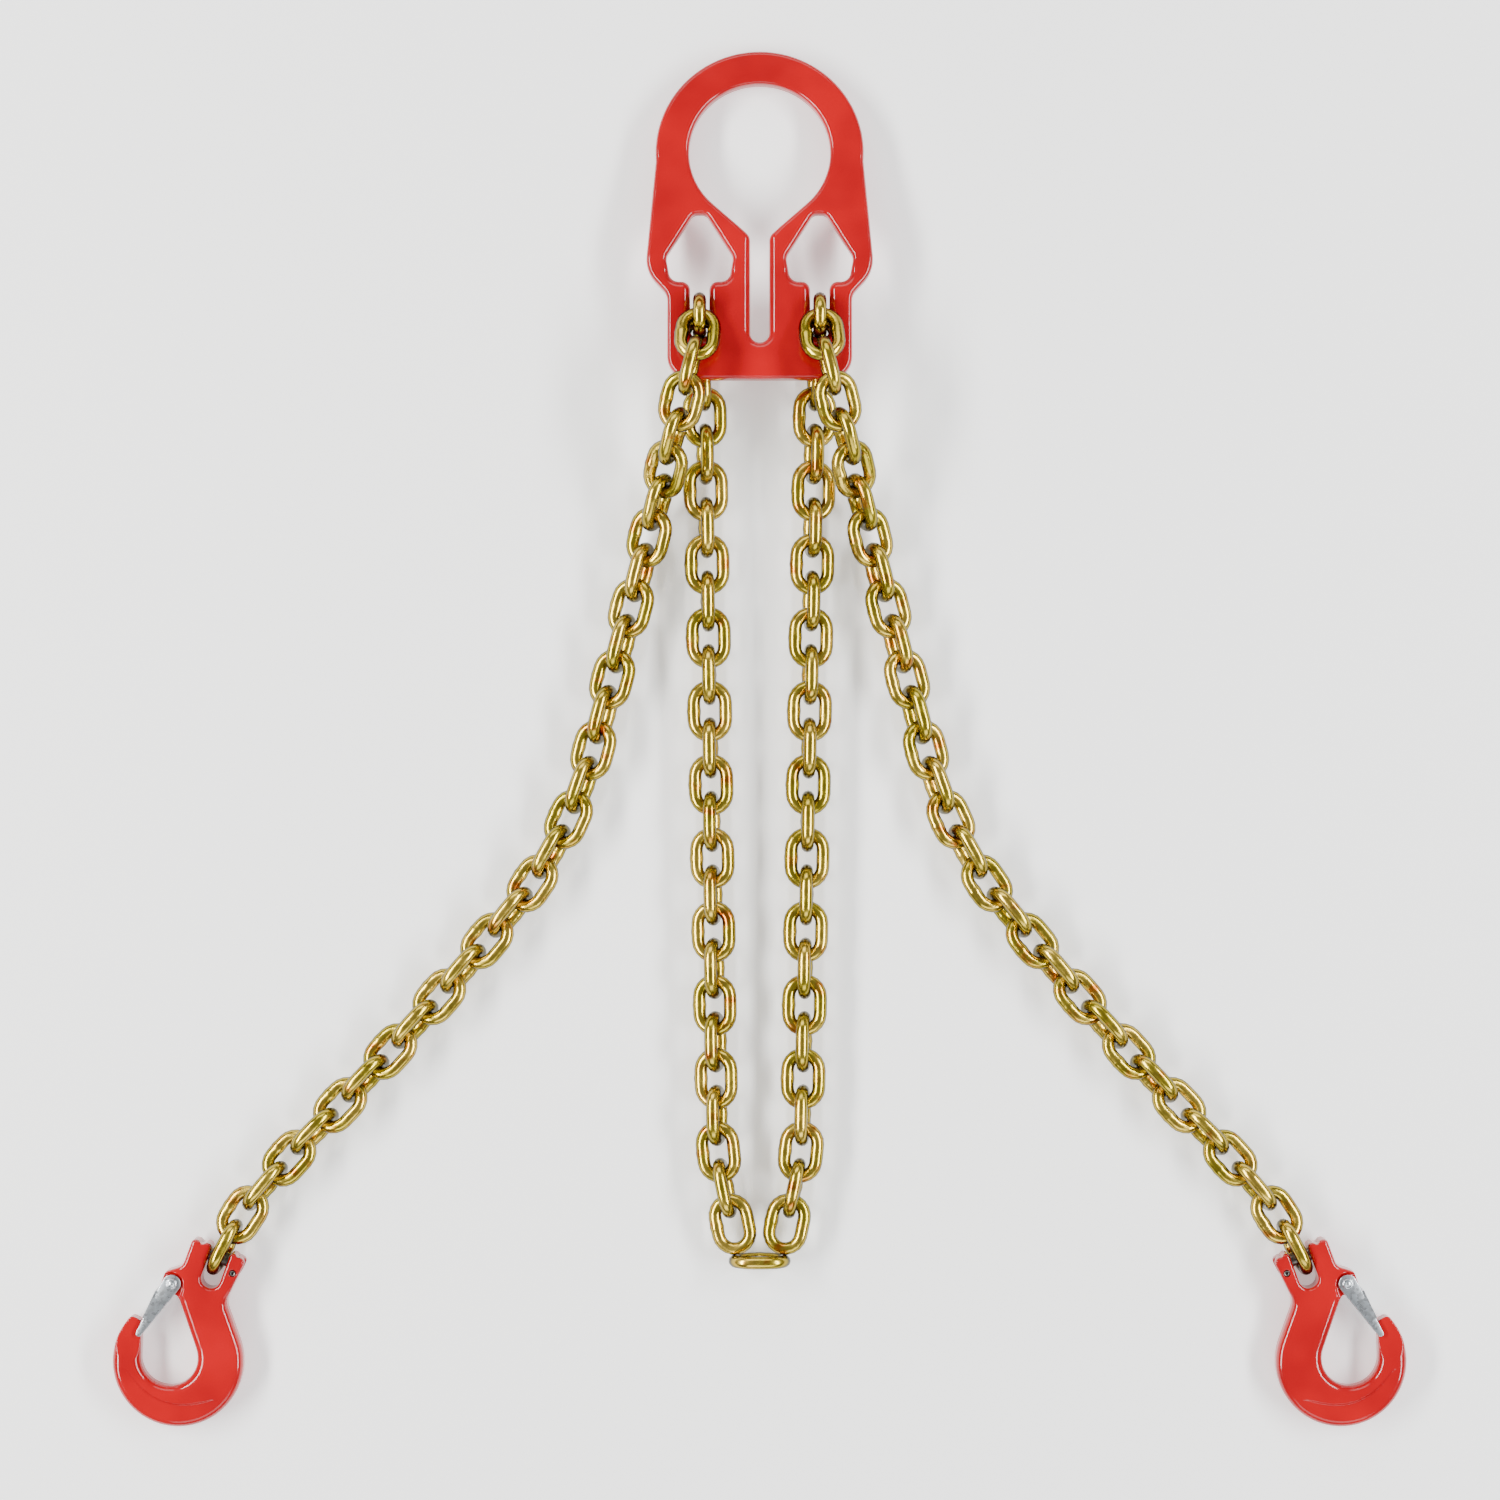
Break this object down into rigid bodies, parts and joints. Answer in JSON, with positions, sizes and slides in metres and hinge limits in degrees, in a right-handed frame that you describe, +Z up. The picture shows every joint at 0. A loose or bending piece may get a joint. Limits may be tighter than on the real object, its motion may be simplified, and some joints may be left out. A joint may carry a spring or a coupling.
{
  "type": "chain sling",
  "caption": "Lifting sling: slotted shortening plate with an eye, chain legs ending in latched clevis hooks, and a long chain loop.",
  "frame": {"origin": "on the floor below the middle of the sling's box, as it lies", "axes": "+X across the sling from the left hook to the right hook, +Y from the hooks towards the plate's eye, +Z up from the floor"},
  "size_m": [0.8454, 0.8996, 0.0715],
  "materials": {
    "red_enamel": "gloss red enamel over a drop forging",
    "yellow_chromate": "yellow-chromated zinc plate, glossy",
    "bright_zinc": "bright zinc plate on pressed sheet",
    "plain_steel": "plain bright steel"
  },
  "bodies": {
    "plate": {"shortening_plate": "red_enamel", "left_slot_link": "yellow_chromate", "right_slot_link": "yellow_chromate"},
    "left_leg_link_1": {"left_leg_link_1": "yellow_chromate"},
    "left_leg_link_2": {"left_leg_link_2": "yellow_chromate"},
    "left_leg_link_3": {"left_leg_link_3": "yellow_chromate"},
    "left_leg_run_1": {"left_leg_run_1": "yellow_chromate"},
    "left_leg_run_2": {"left_leg_run_2": "yellow_chromate"},
    "left_leg_run_3": {"left_leg_run_3": "yellow_chromate"},
    "left_leg_run_4": {"left_leg_run_4": "yellow_chromate"},
    "left_leg_run_5": {"left_leg_run_5": "yellow_chromate"},
    "left_leg_run_6": {"left_leg_run_6": "yellow_chromate"},
    "left_leg_run_7": {"left_leg_run_7": "yellow_chromate"},
    "left_leg_run_8": {"left_leg_run_8": "yellow_chromate"},
    "left_leg_run_9": {"left_leg_run_9": "yellow_chromate"},
    "left_hook": {"left_hook_body": "red_enamel", "left_load_pin": "plain_steel", "left_retaining_pin": "plain_steel", "left_latch_rivet": "plain_steel", "left_latch_spring": "plain_steel"},
    "left_latch": {"left_latch": "bright_zinc"},
    "right_leg_link_1": {"right_leg_link_1": "yellow_chromate"},
    "right_leg_link_2": {"right_leg_link_2": "yellow_chromate"},
    "right_leg_link_3": {"right_leg_link_3": "yellow_chromate"},
    "right_leg_run_1": {"right_leg_run_1": "yellow_chromate"},
    "right_leg_run_2": {"right_leg_run_2": "yellow_chromate"},
    "right_leg_run_3": {"right_leg_run_3": "yellow_chromate"},
    "right_leg_run_4": {"right_leg_run_4": "yellow_chromate"},
    "right_leg_run_5": {"right_leg_run_5": "yellow_chromate"},
    "right_leg_run_6": {"right_leg_run_6": "yellow_chromate"},
    "right_leg_run_7": {"right_leg_run_7": "yellow_chromate"},
    "right_leg_run_8": {"right_leg_run_8": "yellow_chromate"},
    "right_leg_run_9": {"right_leg_run_9": "yellow_chromate"},
    "right_hook": {"right_hook_body": "red_enamel", "right_load_pin": "plain_steel", "right_retaining_pin": "plain_steel", "right_latch_rivet": "plain_steel", "right_latch_spring": "plain_steel"},
    "right_latch": {"right_latch": "bright_zinc"},
    "loop_links_1": {"loop_left_link_1": "yellow_chromate", "loop_right_link_1": "yellow_chromate"},
    "loop_runs_1": {"loop_left_run_1": "yellow_chromate", "loop_right_run_1": "yellow_chromate"},
    "loop_runs_2": {"loop_left_run_2": "yellow_chromate", "loop_right_run_2": "yellow_chromate"},
    "loop_runs_3": {"loop_left_run_3": "yellow_chromate", "loop_right_run_3": "yellow_chromate"},
    "loop_runs_4": {"loop_left_run_4": "yellow_chromate", "loop_right_run_4": "yellow_chromate"},
    "loop_runs_5": {"loop_left_run_5": "yellow_chromate", "loop_right_run_5": "yellow_chromate"},
    "loop_runs_6": {"loop_left_run_6": "yellow_chromate", "loop_right_run_6": "yellow_chromate"},
    "loop_runs_7": {"loop_left_run_7": "yellow_chromate", "loop_right_run_7": "yellow_chromate"},
    "loop_runs_8": {"loop_left_run_8": "yellow_chromate", "loop_right_run_8": "yellow_chromate"},
    "loop_bottom": {"loop_bottom_link": "yellow_chromate"}
  },
  "joints": [
    {"name": "left_leg_link_1_lift", "type": "hinge", "parent": "plate", "child": "left_leg_link_1", "pos_m": [-0.039, 0.27514, 0.03865], "axis": [-0.9962, 0.0872, 0], "range_deg": [0, 50]},
    {"name": "left_leg_link_2_lift", "type": "hinge", "parent": "left_leg_link_1", "child": "left_leg_link_2", "pos_m": [-0.04142, 0.24747, 0.05533], "axis": [-0.9962, 0.0872, 0], "range_deg": [0, 20]},
    {"name": "left_leg_link_3_swing", "type": "hinge", "parent": "left_leg_link_2", "child": "left_leg_link_3", "pos_m": [-0.04846, 0.22462, 0.05867], "axis": [-0.051, 0.1556, 0.9865], "range_deg": [-6, 3]},
    {"name": "left_leg_run_1_lift", "type": "hinge", "parent": "left_leg_link_3", "child": "left_leg_run_1", "pos_m": [-0.05409, 0.2022, 0.04967], "axis": [0.9449, -0.2805, 0.1685], "range_deg": [-20, 12]},
    {"name": "left_leg_run_2_swing", "type": "hinge", "parent": "left_leg_run_1", "child": "left_leg_run_2", "pos_m": [-0.07011, 0.13933, 0.01863], "axis": [0.4187, 0.2562, -0.8713], "range_deg": [-3, 6]},
    {"name": "left_leg_run_3_lift", "type": "hinge", "parent": "left_leg_run_2", "child": "left_leg_run_3", "pos_m": [-0.08818, 0.06974, 0.0145], "axis": [-0.9092, 0.2374, -0.342], "range_deg": [-12, 20]},
    {"name": "left_leg_run_4_swing", "type": "hinge", "parent": "left_leg_run_3", "child": "left_leg_run_4", "pos_m": [-0.10662, 0.00014, 0.0145], "axis": [-0.3305, 0.088, 0.9397], "range_deg": [-15, 10]},
    {"name": "left_leg_run_5_lift", "type": "hinge", "parent": "left_leg_run_4", "child": "left_leg_run_5", "pos_m": [-0.13162, -0.06723, 0.0145], "axis": [0.8544, -0.3912, 0.342], "range_deg": [-20, 12]},
    {"name": "left_leg_run_6_swing", "type": "hinge", "parent": "left_leg_run_5", "child": "left_leg_run_6", "pos_m": [-0.17319, -0.1259, 0.0145], "axis": [0.2658, -0.2152, -0.9397], "range_deg": [-10, 15]},
    {"name": "left_leg_run_7_lift", "type": "hinge", "parent": "left_leg_run_6", "child": "left_leg_run_7", "pos_m": [-0.2199, -0.18069, 0.0145], "axis": [-0.7085, 0.6173, -0.342], "range_deg": [-12, 20]},
    {"name": "left_leg_run_8_swing", "type": "hinge", "parent": "left_leg_run_7", "child": "left_leg_run_8", "pos_m": [-0.26863, -0.23369, 0.0145], "axis": [-0.2496, 0.2338, 0.9397], "range_deg": [-15, 10]},
    {"name": "left_leg_run_9_lift", "type": "hinge", "parent": "left_leg_run_8", "child": "left_leg_run_9", "pos_m": [-0.31828, -0.28582, 0.0145], "axis": [0.717, -0.6512, 0.2487], "range_deg": [-20, 12]},
    {"name": "left_hook_pin", "type": "hinge", "parent": "left_leg_run_9", "child": "left_hook", "pos_m": [-0.35274, -0.33837, 0.0145], "axis": [-0.9367, 0.3502, 0], "range_deg": [-20, 60]},
    {"name": "left_latch_hinge", "type": "hinge", "parent": "left_hook", "child": "left_latch", "pos_m": [-0.38326, -0.3549, 0.01328], "axis": [-0.0163, -0.0435, 0.9989], "range_deg": [0, 32], "stiffness_Nm_per_rad": 0.05, "springref_deg": -17.19},
    {"name": "right_leg_link_1_lift", "type": "hinge", "parent": "plate", "child": "right_leg_link_1", "pos_m": [0.039, 0.27514, 0.03865], "axis": [-0.9962, -0.0872, 0], "range_deg": [0, 50]},
    {"name": "right_leg_link_2_lift", "type": "hinge", "parent": "right_leg_link_1", "child": "right_leg_link_2", "pos_m": [0.04142, 0.24747, 0.05533], "axis": [-0.9962, -0.0872, 0], "range_deg": [0, 20]},
    {"name": "right_leg_link_3_swing", "type": "hinge", "parent": "right_leg_link_2", "child": "right_leg_link_3", "pos_m": [0.04846, 0.22462, 0.05867], "axis": [-0.051, -0.1556, -0.9865], "range_deg": [-6, 3]},
    {"name": "right_leg_run_1_lift", "type": "hinge", "parent": "right_leg_link_3", "child": "right_leg_run_1", "pos_m": [0.05409, 0.2022, 0.04967], "axis": [0.9449, 0.2805, -0.1685], "range_deg": [-20, 12]},
    {"name": "right_leg_run_2_swing", "type": "hinge", "parent": "right_leg_run_1", "child": "right_leg_run_2", "pos_m": [0.07011, 0.13933, 0.01863], "axis": [0.4187, -0.2562, 0.8713], "range_deg": [-3, 6]},
    {"name": "right_leg_run_3_lift", "type": "hinge", "parent": "right_leg_run_2", "child": "right_leg_run_3", "pos_m": [0.08818, 0.06974, 0.0145], "axis": [-0.9092, -0.2374, 0.342], "range_deg": [-12, 20]},
    {"name": "right_leg_run_4_swing", "type": "hinge", "parent": "right_leg_run_3", "child": "right_leg_run_4", "pos_m": [0.10662, 0.00014, 0.0145], "axis": [-0.3305, -0.088, -0.9397], "range_deg": [-15, 10]},
    {"name": "right_leg_run_5_lift", "type": "hinge", "parent": "right_leg_run_4", "child": "right_leg_run_5", "pos_m": [0.13162, -0.06723, 0.0145], "axis": [0.8544, 0.3912, -0.342], "range_deg": [-20, 12]},
    {"name": "right_leg_run_6_swing", "type": "hinge", "parent": "right_leg_run_5", "child": "right_leg_run_6", "pos_m": [0.17319, -0.1259, 0.0145], "axis": [0.2658, 0.2152, 0.9397], "range_deg": [-10, 15]},
    {"name": "right_leg_run_7_lift", "type": "hinge", "parent": "right_leg_run_6", "child": "right_leg_run_7", "pos_m": [0.2199, -0.18069, 0.0145], "axis": [-0.7085, -0.6173, 0.342], "range_deg": [-12, 20]},
    {"name": "right_leg_run_8_swing", "type": "hinge", "parent": "right_leg_run_7", "child": "right_leg_run_8", "pos_m": [0.26863, -0.23369, 0.0145], "axis": [-0.2496, -0.2338, -0.9397], "range_deg": [-15, 10]},
    {"name": "right_leg_run_9_lift", "type": "hinge", "parent": "right_leg_run_8", "child": "right_leg_run_9", "pos_m": [0.31828, -0.28582, 0.0145], "axis": [0.717, 0.6512, -0.2487], "range_deg": [-20, 12]},
    {"name": "right_hook_pin", "type": "hinge", "parent": "right_leg_run_9", "child": "right_hook", "pos_m": [0.35274, -0.33837, 0.0145], "axis": [-0.9367, -0.3502, 0], "range_deg": [-20, 60]},
    {"name": "right_latch_hinge", "type": "hinge", "parent": "right_hook", "child": "right_latch", "pos_m": [0.38326, -0.3549, 0.01328], "axis": [-0.0163, 0.0435, -0.9989], "range_deg": [0, 32], "stiffness_Nm_per_rad": 0.05, "springref_deg": -17.19},
    {"name": "loop_links_1_lift", "type": "hinge", "parent": "plate", "child": "loop_links_1", "pos_m": [0, 0.27291, 0.02321], "axis": [-1, 0, 0], "range_deg": [-50, 0]},
    {"name": "loop_runs_1_lift", "type": "hinge", "parent": "loop_links_1", "child": "loop_runs_1", "pos_m": [0, 0.24175, 0.0145], "axis": [-1, 0, 0], "range_deg": [-12, 2]},
    {"name": "loop_runs_2_lift", "type": "hinge", "parent": "loop_runs_1", "child": "loop_runs_2", "pos_m": [0, 0.17819, 0.0145], "axis": [1, 0, 0], "range_deg": [-15, 8]},
    {"name": "loop_runs_3_lift", "type": "hinge", "parent": "loop_runs_2", "child": "loop_runs_3", "pos_m": [0, 0.0978, 0.0145], "axis": [-1, 0, 0], "range_deg": [-8, 15]},
    {"name": "loop_runs_4_lift", "type": "hinge", "parent": "loop_runs_3", "child": "loop_runs_4", "pos_m": [0, 0.03421, 0.0145], "axis": [1, 0, 0], "range_deg": [-15, 8]},
    {"name": "loop_runs_5_lift", "type": "hinge", "parent": "loop_runs_4", "child": "loop_runs_5", "pos_m": [0, -0.04618, 0.0145], "axis": [-1, 0, 0], "range_deg": [-8, 15]},
    {"name": "loop_runs_6_lift", "type": "hinge", "parent": "loop_runs_5", "child": "loop_runs_6", "pos_m": [0, -0.10977, 0.0145], "axis": [1, 0, 0], "range_deg": [-15, 8]},
    {"name": "loop_runs_7_lift", "type": "hinge", "parent": "loop_runs_6", "child": "loop_runs_7", "pos_m": [0, -0.19016, 0.0145], "axis": [-1, 0, 0], "range_deg": [-8, 15]},
    {"name": "loop_runs_8_lift", "type": "hinge", "parent": "loop_runs_7", "child": "loop_runs_8", "pos_m": [0, -0.25379, 0.0145], "axis": [1, 0, 0], "range_deg": [-13, 8]},
    {"name": "loop_bottom_lift", "type": "hinge", "parent": "loop_runs_8", "child": "loop_bottom", "pos_m": [0, -0.33285, 0.0145], "axis": [-1, 0, 0], "range_deg": [-5, 5]}
  ]
}
